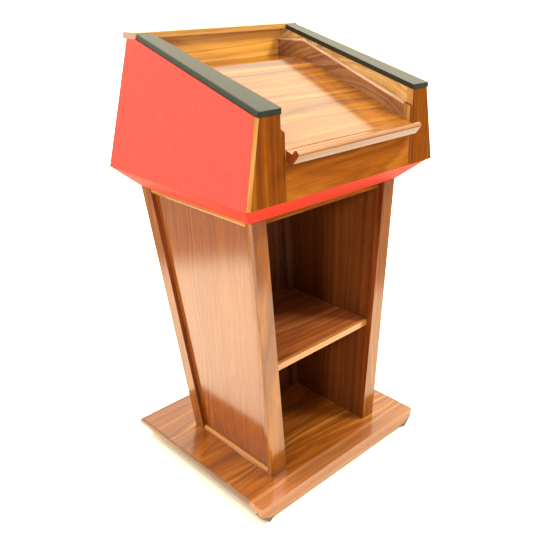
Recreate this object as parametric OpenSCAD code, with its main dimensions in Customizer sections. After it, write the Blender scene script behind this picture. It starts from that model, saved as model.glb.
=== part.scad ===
// Armoured lectern. Millimetres, +Z up, origin at the middle of the footprint on the floor.
// The open speaker's side faces -Y, the audience's side faces +Y.

/* [Base] */
// width of the base top, across the lectern
base_w = 662; // [600:1:740]
// depth of the base top, front to back
base_d = 566; // [500:1:640]
// height of the base top above the floor
base_top = 58; // [50:1:70]
// thickness of the base board
base_t = 22; // [18:1:26]
// width of the solid strip along the speaker's edge
lip_front = 51; // [30:1:70]
// width of the solid strips along the other three edges
lip_side = 3; // [2:0.5:12]
// how far the rounded side edges stand out past the flat top
nose = 3.5; // [1:0.5:6]
// height of the rubber feet, and of the gap under the base
foot_h = 14; // [8:1:20]

/* [Column] */
// half width of the column at its foot
col_hw = 225; // [200:1:240]
// half width of the column under the skirt
col_hw_top = 277.5; // [250:0.1:290]
// thickness of the armoured side walls at the foot
wall_t = 53.5; // [48:0.1:60]
// thickness of the armoured side walls under the skirt
wall_t_top = 49; // [44:0.1:60]
// thickness of the armoured rear wall
rear_t = 44.3; // [40:0.1:60]
// how far the front posts stand into the opening past the walls' linings
post_step = 1.5; // [0.5:0.1:6]
// thickness of the front posts
post_t = 19; // [14:1:26]
// width of the rear corner posts on the side faces
rpost_w = 45; // [35:1:55]
// how far the side and rear panels sit back from the posts
recess = 12; // [6:1:16]
// top of the shelf above the floor
shelf_top = 397; // [370:1:450]
// thickness of the shelf, and height of the rail across the top of the opening
shelf_t = 20; // [12:1:24]
// height where the column ends and the skirt starts
col_top = 821; // [780:1:860]
// place of the column's front face at its foot, from the middle of the base
col_front = -211.5; // [-225:0.5:-195]
// place of the column's rear face at its foot, from the middle of the base
col_rear = 142.5; // [130:0.5:160]
// how far the column's front face leans back from its foot to its top
front_lean = 15; // [5:0.5:25]
// how far the column's rear face leans out from its foot to its top
rear_lean = 112; // [90:1:130]

/* [Head] */
// height of the crease where the skirt meets the head
crease = 881; // [860:1:900]
// half width of the head at the crease
head_hw = 346; // [320:1:370]
// place of the head's front face at the crease, from the middle of the base
head_front = -267.2; // [-280:0.1:-255]
// place of the head's rear face at the crease, from the middle of the base
head_rear = 288.3; // [270:0.1:300]
// height of the head, from the crease to the underside of the audience's cap rail
head_h = 322.5; // [290:0.5:350]
// how far the head's sides lean in over that height
side_lean = 59.5; // [40:0.5:80]
// how far the head's front leans back over that height
face_lean = 14.3; // [5:0.1:25]
// how far the head's rear leans in over that height
back_lean = 43.6; // [30:0.1:60]
// thickness of the cap rails
cap_t = 15.7; // [10:0.1:20]
// thickness of the red laminate
skin = 1.2; // [0.8:0.1:2]
// depth of the upright solid strips on the front edges of the inner boards
front_lip = 19; // [10:1:26]
// thickness of the head's sides at the crease, from the outside to the reading desk
side_w = 117.7; // [100:0.1:130]
// height of the reading desk's front edge above the crease
desk_h = 118; // [90:1:150]
// slope of the reading desk, rise over run
desk_s = 0.351; // [0.2:0.001:0.5]
// depth of the level ledge behind the reading desk, under the audience's cap rail
ledge_d = 72.5; // [50:0.5:100]

// place of the audience's panel inside the reading well, from the middle of the base
well_y = 230; // [200:1:240]
// thickness of the desk board
desk_t = 18; // [15:1:22]
// depth of the armour panels in the column
armour_t = 8; // [4:0.5:10]

/* [Clearance] */
// gap between boards that meet side by side
gap = 0.2; // [0.1:0.05:0.5]
// radial clearance of a screw in the boards it passes through
screw_c = 0.25; // [0.1:0.05:0.5]

/* [Hidden] */
$fn = 32;
bw = base_w / 2;
bd = base_d / 2;
board_z = base_top - base_t;
rail_z = crease + head_h;
desk_hw = head_hw - side_w;
desk_z = crease + desk_h;
ledge_z = rail_z - ledge_d;
// slanted planes, each as [value at height zero, change per unit of height]
function plane(za, a, zb, b) = [a - (b - a) / (zb - za) * za, (b - a) / (zb - za)];
function at(P, z) = P[0] + P[1] * z;
function off(P, d) = [P[0] + d, P[1]];
function flip(P) = [-P[0], -P[1]];
function lvl(v) = [v, 0];
XO = plane(base_top, col_hw, col_top, col_hw_top);
// inside of the side walls, and of the front posts
XW = plane(base_top, col_hw - wall_t, col_top, col_hw_top - wall_t_top);
XI = off(XW, -post_step);
YF = plane(base_top, col_front, col_top, col_front + front_lean);
YR = plane(base_top, col_rear, col_top, col_rear + rear_lean);
XH = plane(crease, head_hw, rail_z, head_hw - side_lean);
YH = plane(crease, head_front, rail_z, head_front + face_lean);
YB = plane(crease, head_rear, rail_z, head_rear - back_lean);
// how far the front skirt sits behind the column's front and behind the head's front
skirt_back = 1;
skirt_back_top = 8.2;
// skirt planes, from the column's top to the crease
XS = plane(col_top, col_hw_top, crease, head_hw);
YSF = plane(col_top, col_front + front_lean + skirt_back, crease, head_front + skirt_back_top);
YSR = plane(col_top, col_rear + rear_lean, crease, head_rear);
// thickness of the skirt panels, measured level
sk_x = 27;
sk_f = 26.3;
sk_r = 20.7;
// underside of the sloping cap rails, as height against y
cap_s = 0.272;
cap_y0 = head_front + 6.7;
cap_y1 = well_y - 23.4;
cap_z0 = rail_z - cap_s * (cap_y1 - cap_y0);
function capz(y) = cap_z0 + cap_s * (y - cap_y0);
desk_y0 = head_front + 6.5;
function deskz(y) = desk_z + desk_s * (y - desk_y0);
desk_y1 = desk_y0 + (ledge_z - desk_z) / desk_s;
dt = desk_t / cos(atan(desk_s));
lining_t = 11.7;
inner_x = desk_hw + lining_t;
inner_t = 18;
core_t = 18;
well_t = 5;
// point where the plane Y meets the line z = z0 + s * y
function meet(Y, z0, s) = let (z = (z0 + s * Y[0]) / (1 - s * Y[1])) [at(Y, z), z];
cap0 = cap_z0 - cap_s * cap_y0;
floor_t = 18;
board_t = 18;
panel_t = 12;

screw_r = 2.25;
head_r = 4.5;
pilot_c = 0.05;
pilot_h = 36;
// layers of the column's walls, as depths from the outside, and the middle of their linings
arm_a = recess + panel_t + gap;
arm_b = arm_a + armour_t;
lin_a = arm_b + gap;
side_sx = col_hw - (wall_t + lin_a) / 2 + 1;
side_sy = [col_front + 91.5, col_rear - 102.5];
rear_sx = 90;
rear_sy = col_rear - rear_t + 7.3;
col_sc = [[side_sx, side_sy[0]], [side_sx, side_sy[1]], [-side_sx, side_sy[0]], [-side_sx, side_sy[1]],
  [rear_sx, rear_sy], [-rear_sx, rear_sy]];
rail_t = 21;
foot_fx = bw - 47;
foot_fy = -bd + 37;
foot_rx = bw - 64;
foot_ry = bd - 69;
foot_w = 36;
// where the front rail's underside turns up towards its ends, and how far up the ends are cut
turn_x = foot_fx + 15;
end_cut = 7;
// height of the strips in the recesses, their bevel, and how far they sit back from the posts
bead_h = 15;
bead_c = 6;
strip_back = 2;
// how far the shelf's front strip and the top rail reach behind the front posts
lip_d = 12;

WOOD = [0.55, 0.30, 0.12];
SOLID = [0.62, 0.36, 0.18];
RED = [0.80, 0.16, 0.10];
BLACK = [0.07, 0.07, 0.07];
STEEL = [0.6, 0.6, 0.6];
DARK = [0.25, 0.12, 0.06];

// a solid between two x planes, drawn as an outline of [y, z] points
module wall(pts, xa, xb) {
  n = len(pts);
  pa = [for (p = pts) [at(xa, p[1]), p[0], p[1]]];
  pb = [for (p = pts) [at(xb, p[1]), p[0], p[1]]];
  sides = [for (i = [0 : n - 1]) [i, i + n, (i + 1) % n + n, (i + 1) % n]];
  ea = [for (i = [0 : n - 1]) i];
  eb = [for (i = [0 : n - 1]) 2 * n - 1 - i];
  polyhedron(points = concat(pa, pb), faces = concat([ea, eb], sides), convexity = 6);
}

// the same between two upright x planes
module strip(pts, x0, x1) {
  translate([x0, 0, 0]) rotate([90, 0, 90]) linear_extrude(x1 - x0) polygon(pts);
}

// a solid between two levels, drawn as a plan at each level
module loft(z0, p0, z1, p1) {
  n = len(p0);
  pa = [for (p = p0) [p[0], p[1], z0]];
  pb = [for (p = p1) [p[0], p[1], z1]];
  sides = [for (i = [0 : n - 1]) [i, i + n, (i + 1) % n + n, (i + 1) % n]];
  ea = [for (i = [0 : n - 1]) i];
  eb = [for (i = [0 : n - 1]) 2 * n - 1 - i];
  polyhedron(points = concat(pa, pb), faces = concat([ea, eb], sides), convexity = 6);
}

// outline of a wall piece between two y planes and two levels
function band(ya, yb, z0, z1) = [[at(ya, z0), z0], [at(yb, z0), z0], [at(yb, z1), z1], [at(ya, z1), z1]];

module box(x0, x1, y0, y1, z0, z1) {
  translate([x0, y0, z0]) cube([x1 - x0, y1 - y0, z1 - z0]);
}

module left() {
  mirror([1, 0, 0]) children();
}

// base

// slab with a rounded nose at +h, and at -h too when both is true
module nose_profile(h, s, both) {
  r = (base_t * base_t / 4 + s * s) / (2 * s);
  translate([-h, board_z]) square([2 * h, base_t]);
  intersection() {
    translate([h + s - r, board_z + base_t / 2]) circle(r, $fn = 64);
    translate([h - 1, board_z]) square([s + 2, base_t]);
  }
  if (both) {
    intersection() {
      translate([-h - s + r, board_z + base_t / 2]) circle(r, $fn = 64);
      translate([-h - s - 1, board_z]) square([s + 2, base_t]);
    }
  }
}

module base_solid() {
  intersection() {
    translate([0, bd + 20, 0]) rotate([90, 0, 0]) linear_extrude(base_d + 40)
      nose_profile(bw, nose, true);
    translate([-bw - 20, 0, 0]) rotate([90, 0, 90]) linear_extrude(base_w + 40)
      nose_profile(bd, nose, false);
  }
}

module base_board() {
  color(WOOD) difference() {
    box(-bw + lip_side, bw - lip_side, -bd + lip_front, bd - lip_side, board_z, base_top);
    for (p = col_sc) {
      translate([p[0], p[1], board_z - 1]) cylinder(r = screw_r + screw_c, h = base_t + 2);
      translate([p[0], p[1], board_z - 1]) cylinder(r = head_r + screw_c, h = 5.3);
    }
  }
}

module base_lipping_front() {
  color(SOLID) intersection() {
    base_solid();
    box(-bw - 20, bw + 20, -bd - 20, -bd + lip_front - gap, 0, 100);
  }
}

module base_lipping_rear() {
  color(SOLID) intersection() {
    base_solid();
    box(-bw - 20, bw + 20, bd - lip_side + gap, bd + 20, 0, 100);
  }
}

module base_lipping_sides() {
  y0 = -bd + lip_front;
  y1 = bd - lip_side;
  color(SOLID) intersection() {
    base_solid();
    union() {
      box(bw - lip_side + gap, bw + 20, y0, y1, 0, 100);
      box(-bw - 20, -bw + lip_side - gap, y0, y1, 0, 100);
    }
  }
}

module base_rail() {
  color(SOLID) translate([0, -bd + rail_t, 0]) rotate([90, 0, 0]) linear_extrude(rail_t)
    polygon([[-turn_x, foot_h], [turn_x, foot_h], [bw, board_z - end_cut], [bw, board_z],
      [-bw, board_z], [-bw, board_z - end_cut]]);
}

module sub_base() {
  color(DARK) difference() {
    box(-bw + 41, bw - 41, -bd + rail_t + gap, bd - 47, foot_h, board_z);
    for (s = [-1, 1]) {
      translate([s * foot_rx, foot_ry, foot_h - 1]) cylinder(r = screw_r + pilot_c, h = 20);
      translate([s * foot_fx, foot_fy, foot_h - 1]) cylinder(r = screw_r + pilot_c, h = 20);
    }
  }
}

// a square pad behind the rail, and a toe that shows under the rail's cut end
module feet_front() {
  toe_d = rail_t + 7;
  color(BLACK) for (s = [0, 1]) {
    mirror([s, 0, 0]) difference() {
      union() {
        translate([foot_fx - foot_w / 2, foot_fy - foot_w / 2, 0]) cube([foot_w, foot_w, foot_h]);
        translate([0, -bd + toe_d, 0]) rotate([90, 0, 0]) linear_extrude(toe_d)
          polygon([[turn_x + 2, 0], [turn_x + 4, 0], [bw, board_z - end_cut - 3],
            [bw, board_z - end_cut - gap], [turn_x, foot_h], [turn_x - 10, foot_h]]);
      }
      translate([foot_fx, foot_fy, -1]) cylinder(r = head_r + screw_c, h = 6);
      translate([foot_fx, foot_fy, -1]) cylinder(r = screw_r + screw_c, h = foot_h + 2);
    }
  }
}

module feet_rear() {
  color(BLACK) for (s = [0, 1]) {
    mirror([s, 0, 0]) difference() {
      translate([foot_rx - foot_w / 2, foot_ry - foot_w / 2, 0]) cube([foot_w, foot_w, foot_h]);
      translate([foot_rx, foot_ry, -1]) cylinder(r = head_r + screw_c, h = 6);
      translate([foot_rx, foot_ry, -1]) cylinder(r = screw_r + screw_c, h = foot_h + 2);
    }
  }
}

// one screw, standing on its flat head
module screw(len, head_h) {
  cylinder(r = head_r, h = head_h);
  translate([0, 0, head_h - 0.5]) cylinder(r = screw_r, h = len);
}

module foot_screws() {
  color(STEEL) for (p = [[foot_fx, foot_fy], [-foot_fx, foot_fy], [foot_rx, foot_ry], [-foot_rx, foot_ry]]) {
    translate([p[0], p[1], 2]) screw(28, 3);
  }
}

module column_screws() {
  color(STEEL) for (p = col_sc) {
    translate([p[0], p[1], board_z + 0.5]) screw(50, 3.8);
  }
}

// column

module post_front_right() {
  c = 5;
  function plan(z) = [[at(XI, z), at(YF, z)], [at(XO, z) - c, at(YF, z)],
    [at(XO, z), at(YF, z) + c], [at(XO, z), at(YF, z) + post_t], [at(XI, z), at(YF, z) + post_t]];
  color(SOLID) loft(base_top, plan(base_top), col_top, plan(col_top));
}

module post_rear_right() {
  w = rpost_w;
  t = recess + panel_t;
  c = 4;
  function leg_y(z) = [[at(XO, z) - t, at(YR, z) - w], [at(XO, z), at(YR, z) - w],
    [at(XO, z), at(YR, z) - c], [at(XO, z) - c, at(YR, z)], [at(XO, z) - t, at(YR, z)]];
  function leg_x(z) = [[at(XO, z) - w, at(YR, z) - t], [at(XO, z) - t + 5, at(YR, z) - t],
    [at(XO, z) - t + 5, at(YR, z)], [at(XO, z) - w, at(YR, z)]];
  color(SOLID) {
    loft(base_top, leg_y(base_top), col_top, leg_y(col_top));
    loft(base_top, leg_x(base_top), col_top, leg_x(col_top));
  }
}

module column_panel_right() {
  color(WOOD)
    wall(band(off(YF, post_t), off(YR, -rpost_w), base_top, col_top),
      off(XO, -recess - panel_t), off(XO, -recess));
}

module column_panel_rear() {
  color(WOOD) wall(band(off(YR, -recess - panel_t), off(YR, -recess), base_top, col_top),
    flip(off(XO, -rpost_w)), off(XO, -rpost_w));
}

// strip in the recess of a side, with its upper or lower outer edge bevelled
module side_strip(z0, z1, b) {
  ya = off(YF, post_t + gap);
  yb = off(YR, -rpost_w - gap);
  xa = off(XO, -recess + 0.02);
  za = b > 0 ? z1 - bead_c : z0 + bead_c;
  ze = b > 0 ? z1 : z0;
  difference() {
    wall(band(ya, yb, z0, z1), xa, off(XO, -strip_back));
    wall([[-bd, min(za, ze - 1)], [bd, min(za, ze - 1)], [bd, max(za, ze + 1)],
      [-bd, max(za, ze + 1)]],
      plane(za, at(XO, za) - strip_back, ze, at(XO, ze) - strip_back - bead_c), lvl(head_hw));
  }
}

module rear_strip(z0, z1) {
  wall(band(off(YR, -recess + 0.02), off(YR, -strip_back), z0, z1), flip(off(XO, -rpost_w - gap)),
    off(XO, -rpost_w - gap));
}

module bead_bottom() {
  color(SOLID) {
    side_strip(base_top, base_top + bead_h, 1);
    left() side_strip(base_top, base_top + bead_h, 1);
    rear_strip(base_top, base_top + bead_h);
  }
}

module bead_top() {
  color(SOLID) {
    side_strip(col_top - bead_h, col_top, -1);
    left() side_strip(col_top - bead_h, col_top, -1);
    rear_strip(col_top - bead_h, col_top);
  }
}

module column_armour() {
  color(STEEL) {
    wall(band(off(YF, post_t + 2), off(YR, -arm_b - gap), base_top, col_top),
      off(XO, -arm_b), off(XO, -arm_a));
    left() wall(band(off(YF, post_t + 2), off(YR, -arm_b - gap), base_top, col_top),
      off(XO, -arm_b), off(XO, -arm_a));
    wall(band(off(YR, -arm_b), off(YR, -arm_a), base_top, col_top),
      flip(off(XO, -arm_a)), off(XO, -arm_a));
  }
}

module column_lining_right() {
  color(DARK) difference() {
    wall(band(off(YF, post_t), off(YR, -rear_t - gap), base_top, col_top),
      XW, off(XO, -lin_a));
    for (p = col_sc) {
      translate([p[0], p[1], base_top - 1]) cylinder(r = screw_r + pilot_c, h = pilot_h);
    }
  }
}

module column_lining_rear() {
  color(DARK) difference() {
    wall(band(off(YR, -rear_t), off(YR, -lin_a), base_top, col_top),
      flip(off(XO, -lin_a)), off(XO, -lin_a));
    for (p = col_sc) {
      translate([p[0], p[1], base_top - 1]) cylinder(r = screw_r + pilot_c, h = pilot_h);
    }
  }
}

module column_top_rail() {
  color(SOLID) wall(band(off(YF, post_t + gap), off(YF, post_t + lip_d), col_top - shelf_t, col_top),
    flip(off(XW, -gap)), off(XW, -gap));
}

cp = 22;
module corner_post() {
  yo = -rear_t - gap;
  function plan(z) = [[at(XW, z) - gap - cp, at(YR, z) + yo - cp], [at(XW, z) - gap, at(YR, z) + yo - cp],
    [at(XW, z) - gap, at(YR, z) + yo], [at(XW, z) - gap - cp, at(YR, z) + yo]];
  loft(base_top, plan(base_top), col_top, plan(col_top));
}

module corner_posts() {
  color(SOLID) {
    corner_post();
    left() corner_post();
  }
}

module shelf() {
  z0 = shelf_top - shelf_t;
  color(WOOD) difference() {
    wall(band(off(YF, post_t + lip_d + gap), off(YR, -rear_t - gap), z0, shelf_top),
      flip(off(XW, -gap)), off(XW, -gap));
    for (s = [0, 1]) {
      mirror([s, 0, 0])
        wall([[at(YR, z0 - 1) - rear_t - cp - 1, z0 - 1], [bd, z0 - 1], [bd, shelf_top + 1],
          [at(YR, shelf_top + 1) - rear_t - cp - 1, shelf_top + 1]],
          off(XW, -cp - 0.7), lvl(bw));
    }
  }
}

module shelf_lip() {
  z0 = shelf_top - shelf_t;
  color(SOLID) wall(band(off(YF, post_t + gap), off(YF, post_t + lip_d), z0, shelf_top),
    flip(off(XW, -gap)), off(XW, -gap));
}

module shelf_cleats() {
  z1 = shelf_top - shelf_t;
  color(DARK) for (s = [0, 1]) {
    mirror([s, 0, 0])
      wall(band(off(YF, post_t + lip_d + 20), off(YR, -rear_t - cp - 2), z1 - 20, z1), off(XW, -14), XW);
  }
}

// skirt, four sloping panels with mitred ends

module skirt_side() {
  zt = crease;
  zb = col_top;
  color(RED) polyhedron(points = [
    [at(XS, zb) - sk_x, at(YSF, zb) + sk_f, zb], [at(XS, zb), at(YSF, zb), zb],
    [at(XS, zb), at(YSR, zb), zb], [at(XS, zb) - sk_x, at(YSR, zb) - sk_r, zb],
    [at(XS, zt) - sk_x, at(YSF, zt) + sk_f, zt], [at(XS, zt), at(YSF, zt), zt],
    [at(XS, zt), at(YSR, zt), zt], [at(XS, zt) - sk_x, at(YSR, zt) - sk_r, zt]],
    faces = [[0, 1, 2, 3], [7, 6, 5, 4], [0, 4, 5, 1], [1, 5, 6, 2], [2, 6, 7, 3], [3, 7, 4, 0]]);
}

// the mitre gap is taken off the ends of the front and rear panels
module skirt_cross(Y, t) {
  g = 0.8;
  zt = crease;
  zb = col_top;
  s = t > 0 ? 1 : -1;
  function row(z, y, x) = [[-x, y, z], [x, y, z]];
  pts = concat(row(zb, at(Y, zb), at(XS, zb) - g), row(zb, at(Y, zb) + t, at(XS, zb) - sk_x - g),
    row(zt, at(Y, zt), at(XS, zt) - g), row(zt, at(Y, zt) + t, at(XS, zt) - sk_x - g));
  f = [[0, 1, 3, 2], [4, 6, 7, 5], [0, 4, 5, 1], [1, 5, 7, 3], [3, 7, 6, 2], [2, 6, 4, 0]];
  r = [for (a = f) [a[3], a[2], a[1], a[0]]];
  color(RED) polyhedron(points = pts, faces = s > 0 ? f : r);
}

module skirt_front() {
  skirt_cross(YSF, sk_f);
}

module skirt_rear() {
  skirt_cross(YSR, -sk_r);
}

// head, inside

module head_floor() {
  x = col_hw_top - sk_x - gap;
  y0 = at(YSF, col_top) + sk_f + gap;
  y1 = at(YSR, col_top) - sk_r - gap;
  color(DARK) box(-x, x, y0, y1, col_top, col_top + floor_t);
}

module deck_bearers() {
  color(DARK) for (s = [-1, 1]) {
    translate([s * (col_hw - 25) - 20, at(YSF, col_top) + 55.5, col_top + floor_t])
      cube([40, at(YSR, col_top) - at(YSF, col_top) - 110, crease - col_top - 2 * floor_t]);
  }
}

module head_deck() {
  color(DARK) wall(band(off(YSF, sk_f + 0.3), off(YSR, -sk_r - 0.3), crease - floor_t, crease),
    flip(off(XS, -sk_x - 0.3)), off(XS, -sk_x - 0.3));
}

// front edges of the boards that stand behind the upright front strips
YL = off(YH, front_lip + gap);
plate_t = 6;
rplate_t = 4;
stile_t = 26;
stile_c = 8.5;
// outline of a side piece of the head, from y plane A to y plane B, up to the underside of the caps
function side_outline(A, B) = [[at(A, crease), crease], [at(B, crease), crease], [at(B, rail_z), rail_z],
  [cap_y1, rail_z], meet(A, cap0, cap_s)];

module head_core_right() {
  color(DARK)
    wall(side_outline(off(YH, stile_t + gap), off(YB, -skin)), off(XH, -skin - core_t), off(XH, -skin));
}

module laminate_right() {
  color(RED) wall(side_outline(off(YH, stile_c - 0.9), off(YB, -skin)), off(XH, -skin + 0.02), XH);
}

module laminate_rear() {
  color(RED) wall(band(off(YB, -skin + 0.02), YB, crease, rail_z), flip(XH), XH);
}

module head_core_rear() {
  x = off(XH, -skin - core_t - plate_t - 2 * gap);
  y0 = well_y + well_t + rplate_t + 2 * gap;
  color(DARK) wall([[y0, crease], [at(YB, crease) - skin, crease], [at(YB, rail_z) - skin, rail_z],
    [y0, rail_z]], flip(x), x);
}

module head_armour() {
  a = off(XH, -skin - core_t - plate_t - gap);
  b = off(XH, -skin - core_t - gap);
  c = off(XH, -skin - core_t - plate_t - 2 * gap);
  y0 = well_y + well_t + gap;
  y1 = y0 + rplate_t;
  color(STEEL) {
    wall(side_outline(off(YH, stile_t + 4), off(YB, -skin)), a, b);
    left() wall(side_outline(off(YH, stile_t + 4), off(YB, -skin)), a, b);
    wall([[y0, crease], [y1, crease], [y1, rail_z], [y0, rail_z]], flip(c), c);
  }
}

module head_inner_right() {
  color(WOOD)
    strip(side_outline(YL, lvl(well_y + well_t)), inner_x, inner_x + inner_t);
}

module front_stile_right() {
  c = stile_c;
  z1 = capz(head_front) + 30;
  top = z1 + head_h;
  x0 = inner_x + inner_t + gap;
  // the outline is a plan at each level, closed under the sloping cap by the cut below
  function plan(z) = [[x0, at(YH, z)], [at(XH, z) - c, at(YH, z)], [at(XH, z) - skin, at(YH, z) + c - skin],
    [at(XH, z) - skin, at(YH, z) + stile_t], [x0, at(YH, z) + stile_t]];
  color(WOOD) difference() {
    loft(crease, plan(crease), z1, plan(z1));
    wall([[2 * head_front, capz(2 * head_front)], [0, capz(0)], [0, top], [2 * head_front, top]],
      lvl(x0 - 20), lvl(head_hw + 20));
  }
}

module front_panel() {
  z1 = meet(YH, deskz(0) - dt - gap, desk_s);
  z2 = meet(off(YH, board_t), deskz(0) - dt - gap, desk_s);
  color(WOOD) strip([[at(YH, crease), crease], [at(YH, crease) + board_t, crease], z2, z1],
    -desk_hw, desk_hw);
}

lin_s = 0.37;
lin_z0 = desk_z + 37.7 + lin_s * 260;
lin_y1 = well_y - 105;
lin_z1 = lin_z0 + lin_s * lin_y1;
lip_h = 6;
module head_lining_right() {
  a = meet(YL, lin_z0 - lip_h, lin_s);
  color(WOOD) strip([[at(YL, crease), crease], [well_y - gap, crease], [well_y - gap, lin_z1 - lip_h],
    [lin_y1, lin_z1 - lip_h], a], desk_hw + gap, inner_x - gap);
}

module lining_lippings() {
  a = meet(YL, lin_z0 - lip_h, lin_s);
  b = meet(YL, lin_z0, lin_s);
  color(SOLID) for (s = [0, 1]) {
    mirror([s, 0, 0]) strip([a, [lin_y1, lin_z1 - lip_h], [well_y - gap, lin_z1 - lip_h],
      [well_y - gap, lin_z1], [lin_y1 - 1, lin_z1], b], desk_hw + gap, inner_x - gap);
  }
}

// upright strips on the front edges of the linings and of the plumb inner boards
module front_lippings() {
  YE = off(YH, front_lip);
  color(SOLID) for (s = [0, 1]) {
    mirror([s, 0, 0]) {
      strip([[at(YH, crease), crease], [at(YE, crease), crease], meet(YE, lin_z0, lin_s),
        meet(YH, lin_z0, lin_s)], desk_hw + gap, inner_x - gap);
      strip([[at(YH, crease), crease], [at(YE, crease), crease], meet(YE, cap0, cap_s),
        meet(YH, cap0, cap_s)], inner_x, inner_x + inner_t);
    }
  }
}

module desk_board() {
  a = meet(YH, deskz(0), desk_s);
  b = meet(YH, deskz(0) - dt, desk_s);
  color(WOOD) strip([b, [desk_y1, deskz(desk_y1) - dt], [desk_y1, ledge_z], a], -desk_hw, desk_hw);
}

module desk_ledge() {
  color(WOOD) box(-desk_hw, desk_hw, desk_y1 + gap, well_y - gap, ledge_z - board_t, ledge_z);
}

module desk_cleats() {
  end = 26;
  y0 = desk_y0 + end;
  y1 = desk_y1 - end;
  color(DARK) {
    for (s = [0, 1]) {
      mirror([s, 0, 0]) strip([[y0, deskz(y0) - dt - 22], [y1, deskz(y1) - dt - 22],
        [y1, deskz(y1) - dt], [y0, deskz(y0) - dt]], desk_hw - 20, desk_hw);
    }
    translate([-desk_hw + 1, well_y - gap - 22, ledge_z - board_t - 22]) cube([2 * desk_hw - 2, 22, 22]);
  }
}

module inner_rear_panel() {
  color(WOOD) box(-inner_x + gap, inner_x - gap, well_y, well_y + well_t, crease, rail_z);
}

// outline of the book stop, as [y, z] from the front edge of the desk's top
stop_pts = [[-10.8, -4.9], [-20, -8], [-24.5, -3.2], [-27.5, 0.6], [-30.2, 1.9], [-32.9, 1.8], [-35, 1],
  [-38.1, -1.6], [-40.8, -5.4], [-39.9, -9.2], [-33.8, -17.8], [-24.5, -29.5], [-15.6, -30.5],
  [-7.5, -29.5]];
stop_hw = desk_hw - 1.3;
module book_stop() {
  a = meet(YH, desk_z - 2, 0);
  b = meet(YH, desk_z - 25.9, 0);
  pts = [for (p = stop_pts) [desk_y0 + p[0], desk_z + p[1]]];
  color(SOLID) strip(concat([b, a], pts), -stop_hw, stop_hw);
}

// cap rails

module cap_right() {
  t = cap_t - 2.4;
  y0 = cap_y0 + 0.5;
  y1 = cap_y1 - gap;
  color(BLACK) wall([[y0, capz(y0)], [y1, capz(y1)], [y1, capz(y1) + t], [y0, capz(y0) + t]],
    lvl(inner_x - 3), off(XH, -3));
}

module cap_rear() {
  y1 = at(YB, rail_z) + 18.8;
  color(SOLID) wall([[cap_y1, rail_z], [y1, rail_z], [y1, rail_z + cap_t], [cap_y1, rail_z + cap_t]],
    flip(XH), XH);
}

// the whole part is moved so that its bounding box is centred on the origin
shift_y = -(desk_y0 + stop_pts[8][0] + head_rear) / 2;
module placed() {
  translate([0, shift_y, 0]) children();
}

placed() base_board();
placed() base_lipping_front();
placed() base_lipping_rear();
placed() base_lipping_sides();
placed() base_rail();
placed() sub_base();
placed() feet_front();
placed() feet_rear();
placed() foot_screws();
placed() column_screws();
placed() left() post_front_right();  // post_front_left
placed() post_front_right();
placed() left() post_rear_right();  // post_rear_left
placed() post_rear_right();
placed() left() column_panel_right();  // column_panel_left
placed() column_panel_right();
placed() column_panel_rear();
placed() bead_bottom();
placed() bead_top();
placed() column_armour();
placed() left() column_lining_right();  // column_lining_left
placed() column_lining_right();
placed() column_lining_rear();
placed() column_top_rail();
placed() corner_posts();
placed() shelf();
placed() shelf_lip();
placed() shelf_cleats();
placed() left() skirt_side();  // skirt_left
placed() skirt_side();  // skirt_right
placed() skirt_front();
placed() skirt_rear();
placed() head_floor();
placed() head_deck();
placed() deck_bearers();
placed() left() head_core_right();  // head_core_left
placed() head_core_right();
placed() head_core_rear();
placed() left() laminate_right();  // laminate_left
placed() laminate_right();
placed() laminate_rear();
placed() head_armour();
placed() left() head_inner_right();  // head_inner_left
placed() head_inner_right();
placed() left() front_stile_right();  // front_stile_left
placed() front_stile_right();
placed() front_panel();
placed() left() head_lining_right();  // head_lining_left
placed() head_lining_right();
placed() lining_lippings();
placed() front_lippings();
placed() desk_board();
placed() desk_ledge();
placed() desk_cleats();
placed() book_stop();
placed() inner_rear_panel();
placed() left() cap_right();  // cap_left
placed() cap_right();
placed() cap_rear();
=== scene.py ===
# Armoured lectern: walnut column and head under gloss lacquer, red laminate, black cap rails.
import math

import bmesh
import bpy
from mathutils import Matrix, Vector

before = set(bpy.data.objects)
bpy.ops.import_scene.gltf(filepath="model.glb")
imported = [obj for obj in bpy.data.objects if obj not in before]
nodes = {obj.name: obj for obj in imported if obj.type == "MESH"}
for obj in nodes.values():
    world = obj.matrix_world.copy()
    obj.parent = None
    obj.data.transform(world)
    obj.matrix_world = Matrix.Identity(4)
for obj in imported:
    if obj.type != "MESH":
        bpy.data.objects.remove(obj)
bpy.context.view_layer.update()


def mm(value):
    return value / 1000.0


def hex_colour(text):
    """An sRGB hex value as linear RGBA."""
    linear = []
    for start in (1, 3, 5):
        level = int(text[start : start + 2], 16) / 255.0
        linear.append(level / 12.92 if level <= 0.04045 else ((level + 0.055) / 1.055) ** 2.4)
    return (*linear, 1.0)


# how materials are made

def add(tree, kind, links=None, stops=None, **settings):
    """Adds one node.

    links maps a socket, by name or number, to an output or a plain value. stops fill a colour ramp
    with places and tones, where a tone is a hex colour or a grey level.
    """
    node = tree.nodes.new(kind)
    for key, value in settings.items():
        setattr(node, key, value)
    for key, value in (links or {}).items():
        if isinstance(value, bpy.types.NodeSocket):
            tree.links.new(value, node.inputs[key])
        else:
            node.inputs[key].default_value = value
    if stops:
        band = node.color_ramp
        while len(band.elements) < len(stops):
            band.elements.new(0.5)
        for element, (place, tone) in zip(band.elements, stops):
            element.position = place
            element.color = hex_colour(tone) if isinstance(tone, str) else (tone, tone, tone, 1.0)
    return node


def new_material(name):
    material = bpy.data.materials.new(name)
    material.use_nodes = True
    tree = material.node_tree
    tree.nodes.clear()
    shader = add(tree, "ShaderNodeBsdfPrincipled")
    add(tree, "ShaderNodeOutputMaterial", {"Surface": shader.outputs["BSDF"]})
    return material, tree, shader


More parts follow.
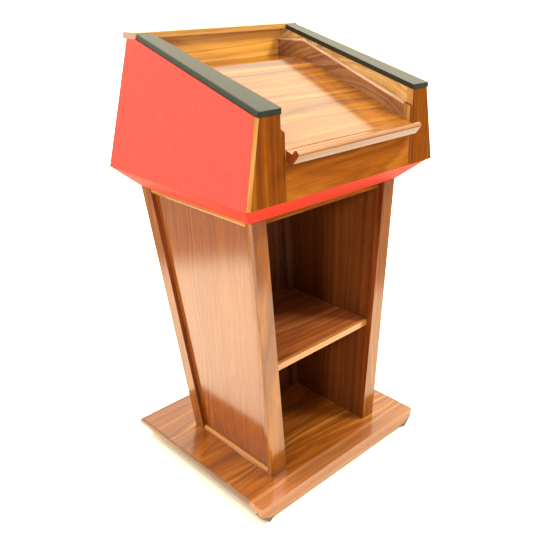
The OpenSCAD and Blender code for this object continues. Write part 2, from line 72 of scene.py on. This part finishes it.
def per(*sizes):
    """Repeats per metre of features that are this many millimetres long, as a pattern's scale."""
    scale = [1000.0 / size for size in sizes]
    return scale if len(scale) > 1 else scale[0]


# turns that bring a board's grain onto the pattern's own X axis
ALONG_X = (0.0, 0.0, 0.0)
ALONG_Y = (0.0, 0.0, math.radians(-90))
ALONG_Z = (0.0, math.radians(90), 0.0)

# the wood's smaller features, in millimetres along and across the grain
FINGER_WAVES = (150, 30, 30)
FINGER_SWAY = 1.25
FIBRES = (70, 3, 3)  # real pores are finer, and are drawn 3 mm wide so that they show
TONE_PATCHES = (400, 70, 70)
# a noise keeps to about a quarter of its range, so a push is made four times as large
NOISE_GAIN = 4
# where the four tones of a board lie on the mixed pattern
TONE_PLACES = (0.38, 0.46, 0.54, 0.63)
# the bare wood's roughness under the lacquer, from dense fibres to open pores
BARE_WOOD = [(0.3, 0.50), (0.7, 0.62)]


def about_pith(tree, board, pith, tilt, wander, waves):
    """Places measured from the pith, pushed so that rings stray along the board and sway a little besides."""
    trunk = add(tree, "ShaderNodeMapping", {"Vector": board, "Rotation": (0.0, *tilt),
                                            "Location": (0.0, -pith[0], -pith[1])})
    slow = add(tree, "ShaderNodeMapping", {"Vector": board, "Scale": per(waves[0], waves[1], waves[1])})
    slow_noise = add(tree, "ShaderNodeTexNoise", {"Vector": slow.outputs[0], "Scale": 1.0, "Detail": 1.0})
    short = add(tree, "ShaderNodeMapping", {"Vector": board, "Scale": per(*FINGER_WAVES)})
    short_noise = add(tree, "ShaderNodeTexNoise", {"Vector": short.outputs[0], "Scale": 1.0, "Detail": 1.0})
    stray = mm(NOISE_GAIN * wander)
    sway = mm(NOISE_GAIN * FINGER_SWAY)
    big = add(tree, "ShaderNodeVectorMath", {0: slow_noise.outputs["Color"], 1: (0.0, stray, stray)},
              operation="MULTIPLY")
    both = add(tree, "ShaderNodeVectorMath", {0: short_noise.outputs["Color"], 1: (0.0, sway, sway),
                                              2: big.outputs[0]}, operation="MULTIPLY_ADD")
    return add(tree, "ShaderNodeVectorMath", {0: trunk.outputs[0], 1: both.outputs[0]},
               operation="ADD").outputs[0]


def ring_tone(tree, place, ring):
    """Growth rings: what lies at one distance from the pith has one tone."""
    across = add(tree, "ShaderNodeVectorMath", {0: place, 1: (0.0, 1.0, 1.0)}, operation="MULTIPLY")
    radius = add(tree, "ShaderNodeVectorMath", {0: across.outputs[0]}, operation="LENGTH")
    rings = add(tree, "ShaderNodeMath", {0: radius.outputs["Value"], 1: per(ring)}, operation="MULTIPLY")
    bands = add(tree, "ShaderNodeTexNoise", {"W": rings.outputs[0], "Scale": 1.0, "Detail": 3.0,
                                             "Roughness": 0.55}, noise_dimensions="1D")
    return bands.outputs["Fac"]


def walnut(name, turn, tones, pith=(0.0, 0.10), tilt=(0.0, 0.0), ring=8.0, wander=10.0,
           waves=(700.0, 110.0), shares=(0.55, 0.25, 0.20), coat=1.0, coat_rough=0.14, coat_ior=1.7):
    """American walnut, sliced or sawn along the trunk, sanded, under a clear gloss lacquer.

    The cut meets the growth rings as streaks and arches, and the lacquer lays a sharp reflection over
    them. tones run from the darkest streak to the lightest. pith is where the trunk's middle lies, across
    the grain, in metres, and tilt is how far the trunk leans to the board. ring is the width of a growth
    ring, wander is how far the rings stray, and waves are how long and wide a stray is, in millimetres.
    shares are the weights of rings, fibres and tone patches. coat is how much lacquer there is, and
    coat_rough and coat_ior say how blurred and how strong its reflection is.
    """
    material, tree, shader = new_material(name)
    coord = add(tree, "ShaderNodeTexCoord")
    board = add(tree, "ShaderNodeMapping", {"Vector": coord.outputs["Object"], "Rotation": turn})
    place = about_pith(tree, board.outputs[0], pith, tilt, wander, waves)
    bands = ring_tone(tree, place, ring)
    fine = add(tree, "ShaderNodeMapping", {"Vector": board.outputs[0], "Scale": per(*FIBRES)})
    fibre = add(tree, "ShaderNodeTexNoise", {"Vector": fine.outputs[0], "Scale": 1.0, "Detail": 3.0,
                                             "Roughness": 0.65})
    broad = add(tree, "ShaderNodeMapping", {"Vector": place, "Scale": per(*TONE_PATCHES)})
    patch = add(tree, "ShaderNodeTexNoise", {"Vector": broad.outputs[0], "Scale": 1.0, "Detail": 2.0})
    first = add(tree, "ShaderNodeMath", {0: bands, 1: shares[0]}, operation="MULTIPLY")
    second = add(tree, "ShaderNodeMath", {0: fibre.outputs["Fac"], 1: shares[1], 2: first.outputs[0]},
                 operation="MULTIPLY_ADD")
    third = add(tree, "ShaderNodeMath", {0: patch.outputs["Fac"], 1: shares[2], 2: second.outputs[0]},
                operation="MULTIPLY_ADD")
    colour = add(tree, "ShaderNodeValToRGB", {"Fac": third.outputs[0]},
                 stops=list(zip(TONE_PLACES, tones)))
    tree.links.new(colour.outputs["Color"], shader.inputs["Base Color"])
    rough = add(tree, "ShaderNodeValToRGB", {"Fac": fibre.outputs["Fac"]}, stops=BARE_WOOD)
    tree.links.new(rough.outputs["Color"], shader.inputs["Roughness"])
    shader.inputs["Specular IOR Level"].default_value = 0.0
    shader.inputs["Coat Weight"].default_value = coat
    shader.inputs["Coat Roughness"].default_value = coat_rough
    shader.inputs["Coat IOR"].default_value = coat_ior
    # the lacquer sinks a little into the open pores
    bump = add(tree, "ShaderNodeBump", {"Height": fibre.outputs["Fac"], "Strength": 0.05,
                                        "Distance": mm(0.6)})
    tree.links.new(bump.outputs[0], shader.inputs["Normal"])
    return material


def coloured(name, tones, patch, rough, metallic=0.0, grain=None, shine=0.5):
    """A finish of one colour, faintly uneven from patch to patch, with a fine grit where grain is given.

    patch and grain are in millimetres, and shine is how much the skin reflects.
    """
    material, tree, shader = new_material(name)
    coord = add(tree, "ShaderNodeTexCoord")
    cloud = add(tree, "ShaderNodeTexNoise", {"Vector": coord.outputs["Object"], "Scale": per(patch),
                                             "Detail": 3.0, "Roughness": 0.6})
    tint = add(tree, "ShaderNodeValToRGB", {"Fac": cloud.outputs["Fac"]},
               stops=[(0.3, tones[0]), (0.7, tones[1])])
    tree.links.new(tint.outputs["Color"], shader.inputs["Base Color"])
    shader.inputs["Roughness"].default_value = rough
    shader.inputs["Metallic"].default_value = metallic
    shader.inputs["Specular IOR Level"].default_value = shine
    if grain:
        grit = add(tree, "ShaderNodeTexNoise", {"Vector": coord.outputs["Object"], "Scale": per(grain),
                                                "Detail": 2.0})
        bump = add(tree, "ShaderNodeBump", {"Height": grit.outputs["Fac"], "Strength": 0.15,
                                            "Distance": mm(0.4)})
        tree.links.new(bump.outputs[0], shader.inputs["Normal"])
    return material


# finishes of the lectern

# plain figures that several small pieces share
strip_figure = {"pith": (0.1, -0.3), "ring": 16.0, "wander": 6.0}
deep_figure = {"pith": (0.3, 0.9), "ring": 16.0, "wander": 6.0}
post_figure = {"pith": (0.2, 0.3), "ring": 16.0, "wander": 6.0}
lining_figure = {"pith": (0.3, 0.0), "tilt": (0.02, 0.0), "ring": 14.0, "wander": 6.0,
                 "shares": (0.45, 0.35, 0.20), "coat": 0.4}

# base board: broad wandering streaks across its width, with the column's foot mirrored a little blurred
base_veneer = walnut(
    "walnut_veneer_base", ALONG_X, ("#6c3a10", "#804312", "#925119", "#b1742c"),
    pith=(0.05, 0.02), tilt=(0.06, 0.04), ring=22.0, wander=20.0, waves=(420.0, 80.0),
    shares=(0.55, 0.20, 0.25), coat_rough=0.18, coat_ior=1.72)
# desk: the widest figure under the thickest lacquer, which turns pale where it mirrors the room
desk_veneer = walnut(
    "walnut_veneer_desk", ALONG_X, ("#69380f", "#864a10", "#9d5f19", "#af772d"),
    pith=(-0.22, 1.03), tilt=(0.05, 0.05), ring=28.0, wander=20.0, waves=(500.0, 90.0),
    shares=(0.55, 0.20, 0.25), coat_ior=2.05)
# front panel and column's top rail: an even golden brown whose thin lacquer hardly shines
front_veneer = walnut(
    "walnut_veneer_front", ALONG_X, ("#68390c", "#7f430f", "#8e4e13", "#9f5f1c"),
    pith=(-0.02, 0.90), tilt=(0.02, 0.03), ring=9.0, wander=7.0, shares=(0.50, 0.32, 0.18), coat=0.12)
# inner panel towards the audience: the palest and most golden board
audience_veneer = walnut(
    "walnut_veneer_audience", ALONG_X, ("#ca873b", "#da9a41", "#e7a74a", "#f3b655"),
    pith=(0.0, 0.86), tilt=(0.03, 0.0), ring=9.0, wander=6.0)
# shelf: broad red-brown streaks from side to side
shelf_veneer = walnut(
    "walnut_veneer_shelf", ALONG_X, ("#753f1f", "#874722", "#9a5427", "#b06b39"),
    pith=(0.1, 0.30), tilt=(0.03, 0.03), ring=22.0, wander=14.0, shares=(0.5, 0.2, 0.3))
# column panels: close upright figure under a lacquer that mirrors the white room as a pale band
upright_veneer = walnut(
    "walnut_veneer_upright", ALONG_Z, ("#6b3105", "#783805", "#814105", "#8d4d09"),
    pith=(-0.02, 0.26), tilt=(0.03, 0.02), ring=9.0, wander=13.0, waves=(300.0, 60.0),
    shares=(0.47, 0.33, 0.20), coat_ior=1.91)
# front stiles and their strips: straight close streaks, deep golden brown and nearly without gloss
stile_veneer = walnut(
    "walnut_veneer_stile", ALONG_Z, ("#5f300a", "#6e360a", "#793f0a", "#874b0e"),
    pith=(-0.1, 0.4), tilt=(0.02, 0.0), ring=12.0, wander=6.0, shares=(0.45, 0.37, 0.18), coat=0.12)
# linings inside the column: painted the darkest, as the shade inside the column, brown at the sides and
# redder at the rear
side_lining_painted_shade = walnut(
    "walnut_veneer_side_lining", ALONG_Z, ("#572b11", "#623013", "#693615", "#723d1b"), **lining_figure)
rear_lining_painted_shade = walnut(
    "walnut_veneer_rear_lining", ALONG_Z, ("#5f3220", "#683823", "#6e3e28", "#77442e"), **lining_figure)
# linings beside the desk: a soft pinkish brown with long arches
head_lining = walnut(
    "walnut_veneer_head_lining", ALONG_X, ("#734728", "#825230", "#92613b", "#9f6f48"),
    pith=(0.0, 0.7), tilt=(0.10, 0.0), ring=12.0, wander=6.0, coat=0.6)
# inner boards above those linings: paler and more golden, so that each lining stands out
head_inner = walnut(
    "walnut_veneer_head_inner", ALONG_X, ("#986c38", "#b08248", "#c0955c", "#ceaa77"),
    pith=(0.0, 0.7), tilt=(0.08, 0.0), ring=14.0, wander=8.0, coat=0.7)
# shelf's front lip: a pale solid strip, its paleness partly painted sheen, that shines like a line under the
# dark opening
solid_across_painted_sheen = walnut(
    "walnut_solid_across", ALONG_X, ("#905d27", "#a0692e", "#ae7637", "#bc8845"), **strip_figure)
# base board's front and rear strips and its rail: solid, redder and a little softer in gloss
edge_solid = walnut(
    "walnut_solid_edges", ALONG_X, ("#794527", "#8d562d", "#9f6438", "#b37b4a"), **strip_figure,
    coat=0.85, coat_rough=0.18)
# base board's side strips: darker than the top that they frame
edge_side = walnut(
    "walnut_solid_side_edges", ALONG_Y, ("#4c250a", "#5a330f", "#693d13", "#7a4f1f"), **strip_figure,
    coat_rough=0.2, coat_ior=1.72)
# book stop: thick lacquer on the rounded edges catches the light as a white line
stop_solid = walnut(
    "walnut_solid_book_stop", ALONG_X, ("#6f3e0b", "#875013", "#9b601c", "#ad7529"),
    pith=(0.1, -0.3), ring=12.0, wander=6.0, coat_ior=1.95)
# book stop's lower bevel: the same wood painted darker as shade where it turns down, under a weaker lacquer,
# a flat beige in the floor's light
stop_bevel_painted_shade = walnut(
    "walnut_solid_stop_bevel", ALONG_X, ("#693d1c", "#764622", "#824f29", "#8e5931"),
    pith=(0.1, -0.3), ring=12.0, wander=6.0, coat_ior=1.42)
# rounded lippings on the desk's linings: pale tones painted as a highlight, drawn as a light line along each
# side
lipping_painted_highlight = walnut(
    "walnut_solid_lipping_painted_highlight", ALONG_Y, ("#b38967", "#bf9675", "#c9a083", "#d3ae93"), **deep_figure,
    coat_ior=1.95)
# wood cap rail on the audience's side: golden, close to the board below it
cap_solid = walnut(
    "walnut_solid_cap", ALONG_X, ("#9d672c", "#b47e39", "#c89347", "#d9a457"), **strip_figure)
# corner posts of the column: solid, streaked lengthwise, glossy, a shade more golden than the panels
solid_upright = walnut(
    "walnut_solid_upright", ALONG_Z, ("#683304", "#773f04", "#864805", "#965c0b"),
    pith=(0.2, 0.3), tilt=(0.03, 0.03), ring=14.0, wander=8.0, waves=(200.0, 60.0),
    shares=(0.45, 0.35, 0.20), coat_ior=1.64)
# bevelled strips at the foot and top of the panels: thin bright frames between panel and post
solid_deep = walnut(
    "walnut_solid_deep", ALONG_Y, ("#884e17", "#995b1d", "#a76623", "#b6762d"), **deep_figure)
# faces in rebates and in the opening, painted a dark red-brown as shade that parts two pieces; at the book
# stop's ends the same red-brown is its end grain
painted_shade_and_end_grain = walnut(
    "walnut_solid_painted_shade_and_end_grain", ALONG_Z, ("#4f220b", "#602a11", "#713415", "#823e1c"), **post_figure, coat=0.3)
# pale tones painted as sheen on the bevels of the front stiles and the sides of their strips
painted_sheen_edge = walnut(
    "walnut_pale_edge", ALONG_Z, ("#905e31", "#9f6c37", "#aa783f", "#b4844a"), **post_figure, coat=0.3)
# end grain of the rear cap: close-ringed, with a greyish pink painted as its reflection under lacquer
end_grain_painted_sheen = walnut(
    "walnut_end_grain", ALONG_X, ("#947467", "#9e7d71", "#a5867b", "#ab8c81"),
    pith=(0.0, 1.2), ring=4.0, wander=2.0, coat=0.3)
# high-pressure laminate pressed against a matt plate: one even red, its gloss softened by fine grit
red_laminate = coloured("red_laminate", ("#d94038", "#df463f"), 14.0, 0.45, grain=2.0, shine=0.2)
# the same laminate on the skirt, painted deeper in tone as shade because it faces down, and duller
red_skirt_painted_shade = coloured("red_skirt_panels", ("#bb3022", "#c03426"), 14.0, 0.55, grain=2.0, shine=0.08)
# sprayed satin black on wood rails: a smooth greenish skin with a wide soft reflection
cap_black = coloured("black_lacquer", ("#141f19", "#1c271f"), 17.0, 0.32, shine=0.42)
# inner boards of stained plywood: dull dark brown, seen only through joints
ply = coloured("stained_ply", ("#3a2012", "#4a2a18"), 11.0, 0.6)
# laid glass-fibre panel: dull straw yellow, out of sight
glass_panel = coloured("glass_fibre_armour", ("#9a9270", "#aaa280"), 11.0, 0.55)
# moulded rubber feet: matt grey-brown that takes no reflection
foot_rubber = coloured("moulded_rubber", ("#5a4c40", "#6a5a4c"), 5.0, 0.75)
# zinc-plated screws: a dull bright metal, out of sight
screw_steel = coloured("zinc_steel", ("#a8aaac", "#c4c6c8"), 2.5, 0.35, metallic=1.0)

finish_of = {
    base_veneer: ["base_board"],
    desk_veneer: ["desk_board", "desk_ledge"],
    front_veneer: ["front_panel", "column_top_rail"],
    audience_veneer: ["inner_rear_panel"],
    shelf_veneer: ["shelf"],
    upright_veneer: ["column_panel_left", "column_panel_right", "column_panel_rear"],
    stile_veneer: ["front_stile_left", "front_stile_right", "front_lippings"],
    head_lining: ["head_lining_left", "head_lining_right"],
    head_inner: ["head_inner_left", "head_inner_right"],
    solid_across_painted_sheen: ["shelf_lip"],
    stop_solid: ["book_stop"],
    lipping_painted_highlight: ["lining_lippings"],
    edge_side: ["base_lipping_sides"],
    edge_solid: ["base_lipping_front", "base_lipping_rear", "base_rail"],
    cap_solid: ["cap_rear"],
    solid_upright: ["post_front_left", "post_front_right", "post_rear_left", "post_rear_right"],
    solid_deep: ["bead_bottom", "bead_top"],
    # painted shade: the column's linings and its corner posts
    side_lining_painted_shade: ["column_lining_left", "column_lining_right"],
    rear_lining_painted_shade: ["column_lining_rear", "corner_posts"],
    red_laminate: ["laminate_left", "laminate_right", "laminate_rear"],
    red_skirt_painted_shade: ["skirt_left", "skirt_right", "skirt_front", "skirt_rear"],
    cap_black: ["cap_left", "cap_right"],
    ply: ["sub_base", "shelf_cleats", "head_floor", "head_deck", "deck_bearers", "desk_cleats",
          "head_core_left", "head_core_right", "head_core_rear"],
    glass_panel: ["column_armour", "head_armour"],
    foot_rubber: ["feet_front", "feet_rear"],
    screw_steel: ["foot_screws", "column_screws"],
}
for material, names in finish_of.items():
    for name in names:
        nodes[name].data.materials.clear()
        nodes[name].data.materials.append(material)


# second finishes on single faces

def refinish(name, material, wanted):
    """Gives a second finish to those faces of one piece that the test wants."""
    mesh = nodes[name].data
    mesh.materials.append(material)
    for face in mesh.polygons:
        if wanted(face):
            face.material_index = len(mesh.materials) - 1


def faces_sideways(face):
    """An end or side that looks left or right."""
    return abs(face.normal.x) > 0.9


def slants_outwards(face):
    """The bevelled outer corner of a front stile."""
    return abs(face.normal.x) > 0.3 and face.normal.y < -0.3


def faces_speaker(face):
    """The side of a rear post towards the speaker, where the side panel meets it."""
    return face.normal.y < -0.7


def faces_opening(face):
    """The side of a front post that looks towards the middle of the column."""
    return abs(face.normal.x) > 0.7 and face.normal.x * face.center.x < 0


def slants_down(face):
    """The lower bevel along the front of the book stop."""
    return face.normal.z < -0.1 and face.normal.y < -0.2


for side in ("left", "right"):
    # painted sheen on the stiles' outer bevels
    refinish(f"front_stile_{side}", painted_sheen_edge, slants_outwards)
    # painted shade on the posts' sides towards the speaker and towards the opening
    refinish(f"post_rear_{side}", painted_shade_and_end_grain, faces_speaker)
    refinish(f"post_front_{side}", painted_shade_and_end_grain, faces_opening)
# painted sheen on the sides of the stiles' strips
refinish("front_lippings", painted_sheen_edge, faces_sideways)
# the book stop's ends in dark end grain
refinish("book_stop", painted_shade_and_end_grain, faces_sideways)
# painted shade on the book stop's lower bevel
refinish("book_stop", stop_bevel_painted_shade, slants_down)
# painted reflection on the rear cap's end grain
refinish("cap_rear", end_grain_painted_sheen, faces_sideways)

# eased edges, as sandpaper and lacquer leave them; widths in millimetres
PLAIN_EASE = 0.6
eased = {
    "cap_left": 2.2, "cap_right": 2.2, "cap_rear": 1.8, "book_stop": 2.4, "lining_lippings": 3.0,
    "shelf_lip": 1.5, "column_top_rail": 2.0, "base_rail": 1.5, "feet_front": 1.5, "feet_rear": 1.5,
}
# the laminate keeps its sharp sheet edge, and the screws are out of sight
left_sharp = ("laminate_left", "laminate_right", "laminate_rear", "foot_screws", "column_screws")
for name, node in nodes.items():
    if name in left_sharp:
        continue
    weld = node.modifiers.new("join_corners", "WELD")
    weld.merge_threshold = mm(0.01)
    bevel = node.modifiers.new("eased_edges", "BEVEL")
    bevel.width = mm(eased.get(name, PLAIN_EASE))
    bevel.segments = 3
    bevel.limit_method = "ANGLE"
    bevel.angle_limit = math.radians(30)


# room, lamps and camera

WARM_WHITE = hex_colour("#fff1d4")
# the strength of the room's light at its dimmest and brightest, and the way to the brightest part
ROOM_DIM = 0.45
ROOM_BRIGHT = 2.4
BRIGHTEST_WAY = (0.35, 0.73, 0.59)
# the paper's own directions on the floor: along it, and across
PAPER_RUN = (0.693, 0.721, 0.0)
PAPER_ACROSS = (0.721, -0.693, 0.0)
# half of the paper's width in metres: what it has at the middle of the floor and what it gains with each
# metre along the paper, but never less than the least; its edge fades between two shares of that
PAPER_MIDDLE = 1.00
PAPER_SPREAD = 0.50
PAPER_LEAST = 1.45
PAPER_EDGE = (0.90, 1.10)
# the strength of the paper's painted glare, a glow of its own, a metre to the left of the lectern, and from
# its middle to the right
PAINTED_GLOW_LEFT = 1.5
PAINTED_GLOW_RIGHT = 0.8
# half of the base's width and depth, and how far past them, in metres, the painted shade on the paper ends:
# the glow is taken away round the base
BASE_HALF = (0.331, 0.283, 0.0)
SHADE_ENDS = (-0.04, 0.10)
# the photograph's width in pixels, and the width of the camera's sensor in millimetres
PICTURE_WIDTH = 550.0
SENSOR_WIDTH = 36.0


def paper_share(tree, place, sideways):
    """How far a point of the floor lies from the paper's middle, as a share of half of its width there."""
    off_axis = add(tree, "ShaderNodeMath", {0: sideways}, operation="ABSOLUTE")
    away = add(tree, "ShaderNodeVectorMath", {0: place, 1: PAPER_RUN}, operation="DOT_PRODUCT")
    far_half = add(tree, "ShaderNodeMath", {0: away.outputs["Value"], 1: PAPER_SPREAD, 2: PAPER_MIDDLE},
                   operation="MULTIPLY_ADD")
    half_width = add(tree, "ShaderNodeMath", {0: far_half.outputs[0], 1: PAPER_LEAST}, operation="MAXIMUM")
    return add(tree, "ShaderNodeMath", {0: off_axis.outputs[0], 1: half_width.outputs[0]},
               operation="DIVIDE").outputs[0]


def floor_finish():
    """White paper under the lectern, widening away from the camera, over a pale painted floor.

    The paper is matt and soft-edged, and glows with a painted glare, stronger on the left, which fades out
    round the lectern's base as painted shade. The painted floor beside it is a neutral grey.
    """
    material, tree, shader = new_material("white_paper_on_pale_floor")
    place = add(tree, "ShaderNodeTexCoord").outputs["Object"]
    sideways = add(tree, "ShaderNodeVectorMath", {0: place, 1: PAPER_ACROSS},
                   operation="DOT_PRODUCT").outputs["Value"]
    share = paper_share(tree, place, sideways)
    off_paper = add(tree, "ShaderNodeMapRange", {"Value": share, "From Min": PAPER_EDGE[0],
                                                 "From Max": PAPER_EDGE[1]},
                    interpolation_type="SMOOTHSTEP")
    tone = add(tree, "ShaderNodeValToRGB", {"Fac": off_paper.outputs[0]},
               stops=[(0.0, "#f8f5e4"), (1.0, "#949490")])
    tree.links.new(tone.outputs["Color"], shader.inputs["Base Color"])
    # painted glare: the paper glows, more on the left
    painted_glow_side = add(tree, "ShaderNodeMapRange", {"Value": sideways, "From Min": -1.0, "From Max": 0.0,
                                                 "To Min": PAINTED_GLOW_LEFT, "To Max": PAINTED_GLOW_RIGHT},
                    interpolation_type="SMOOTHSTEP")
    spread = add(tree, "ShaderNodeVectorMath", {0: place}, operation="ABSOLUTE")
    past_base = add(tree, "ShaderNodeVectorMath", {0: spread.outputs[0], 1: BASE_HALF},
                    operation="SUBTRACT")
    past_xy = add(tree, "ShaderNodeSeparateXYZ", {"Vector": past_base.outputs[0]})
    outside = add(tree, "ShaderNodeMath", {0: past_xy.outputs["X"], 1: past_xy.outputs["Y"]},
                  operation="MAXIMUM")
    # painted shade: the glow fades out under and round the base
    shade = add(tree, "ShaderNodeMapRange", {"Value": outside.outputs[0], "From Min": SHADE_ENDS[0],
                                             "From Max": SHADE_ENDS[1]}, interpolation_type="SMOOTHSTEP")
    on_paper = add(tree, "ShaderNodeMath", {0: 1.0, 1: off_paper.outputs[0]}, operation="SUBTRACT")
    painted_glow_strength = add(tree, "ShaderNodeMath", {0: painted_glow_side.outputs[0], 1: shade.outputs[0]},
              operation="MULTIPLY")
    painted_glare = add(tree, "ShaderNodeMath", {0: painted_glow_strength.outputs[0], 1: on_paper.outputs[0]},
                operation="MULTIPLY")
    shader.inputs["Emission Color"].default_value = WARM_WHITE
    tree.links.new(painted_glare.outputs[0], shader.inputs["Emission Strength"])
    shader.inputs["Roughness"].default_value = 0.8
    shader.inputs["Specular IOR Level"].default_value = 0.2
    return material


def lay_floor(reach):
    """A flat floor that reaches this many metres each way from the lectern."""
    mesh = bpy.data.meshes.new("studio_floor")
    sheet = bmesh.new()
    bmesh.ops.create_grid(sheet, x_segments=1, y_segments=1, size=reach)
    sheet.to_mesh(mesh)
    sheet.free()
    mesh.materials.append(floor_finish())
    floor = bpy.data.objects.new("studio_floor", mesh)
    bpy.context.scene.collection.objects.link(floor)


def light_room():
    """A white room, brightest above and behind the lectern, and dimmer round the camera."""
    world = bpy.data.worlds.new("studio")
    bpy.context.scene.world = world
    world.use_nodes = True
    tree = world.node_tree
    tree.nodes.clear()
    heading = add(tree, "ShaderNodeTexCoord")
    toward = add(tree, "ShaderNodeVectorMath", {0: heading.outputs["Generated"], 1: BRIGHTEST_WAY},
                 operation="DOT_PRODUCT")
    glow = add(tree, "ShaderNodeMapRange", {"Value": toward.outputs["Value"], "From Min": -0.7,
                                            "From Max": 1.0, "To Min": ROOM_DIM, "To Max": ROOM_BRIGHT},
               interpolation_type="SMOOTHSTEP")
    sky = add(tree, "ShaderNodeBackground", {"Color": WARM_WHITE, "Strength": glow.outputs[0]})
    add(tree, "ShaderNodeOutputWorld", {"Surface": sky.outputs[0]})


def softbox(name, place, aim, size, power):
    """A lamp of a width and height in metres and a power in watts, turned towards its aim."""
    light = bpy.data.lights.new(name, "AREA")
    light.shape = "RECTANGLE"
    light.size, light.size_y = size
    light.energy = power
    lamp = bpy.data.objects.new(name, light)
    bpy.context.scene.collection.objects.link(lamp)
    lamp.location = place
    lamp.rotation_euler = (Vector(aim) - Vector(place)).to_track_quat("-Z", "Y").to_euler()
    return lamp


def set_camera(eye, yaw, pitch, roll, lens_px):
    """A camera at a place in millimetres, its turns in degrees and its lens in pixels of the picture."""
    yaw, pitch, roll = math.radians(yaw), math.radians(pitch), math.radians(roll)
    ahead = Vector((-math.sin(yaw) * math.cos(pitch), math.cos(yaw) * math.cos(pitch), -math.sin(pitch)))
    level = ahead.cross(Vector((0, 0, 1))).normalized()
    above = level.cross(ahead)
    right = math.cos(roll) * level + math.sin(roll) * above
    upward = -math.sin(roll) * level + math.cos(roll) * above
    lens = bpy.data.cameras.new("camera")
    lens.sensor_width = SENSOR_WIDTH
    lens.lens = lens_px / PICTURE_WIDTH * SENSOR_WIDTH
    camera = bpy.data.objects.new("camera", lens)
    bpy.context.scene.collection.objects.link(camera)
    turn = Matrix((right, upward, -ahead)).transposed().to_4x4()
    camera.matrix_world = Matrix.Translation(Vector([mm(value) for value in eye])) @ turn
    bpy.context.scene.camera = camera


lay_floor(reach=12.0)
light_room()
softbox("key_right", place=(2.1, -2.1, 3.9), aim=(0.0, 0.0, 0.8), size=(0.8, 0.8), power=140.0)
fill = softbox("fill_left", place=(-2.7, -1.25, 1.55), aim=(0.0, 0.0, 0.6), size=(0.3, 0.3), power=44.0)
fill.visible_glossy = False  # too small a lamp to be mirrored in the lacquer
# a tall narrow lamp that the rounded edge of the book stop mirrors as a white line
softbox("glint_right", place=(1.7, -0.9, 2.6), aim=(0.0, -0.27, 1.0), size=(0.35, 1.0), power=10.0)
softbox("rim_back", place=(-1.4, 1.9, 3.1), aim=(0.0, 0.0, 0.9), size=(0.5, 0.5), power=40.0)
# matched to the straight edges in the photograph
set_camera(eye=(-1244.35, -1278.65, 1341.24), yaw=-43.85, pitch=23.99, roll=-0.26, lens_px=667.46)
bpy.context.scene.view_settings.view_transform = "Standard"
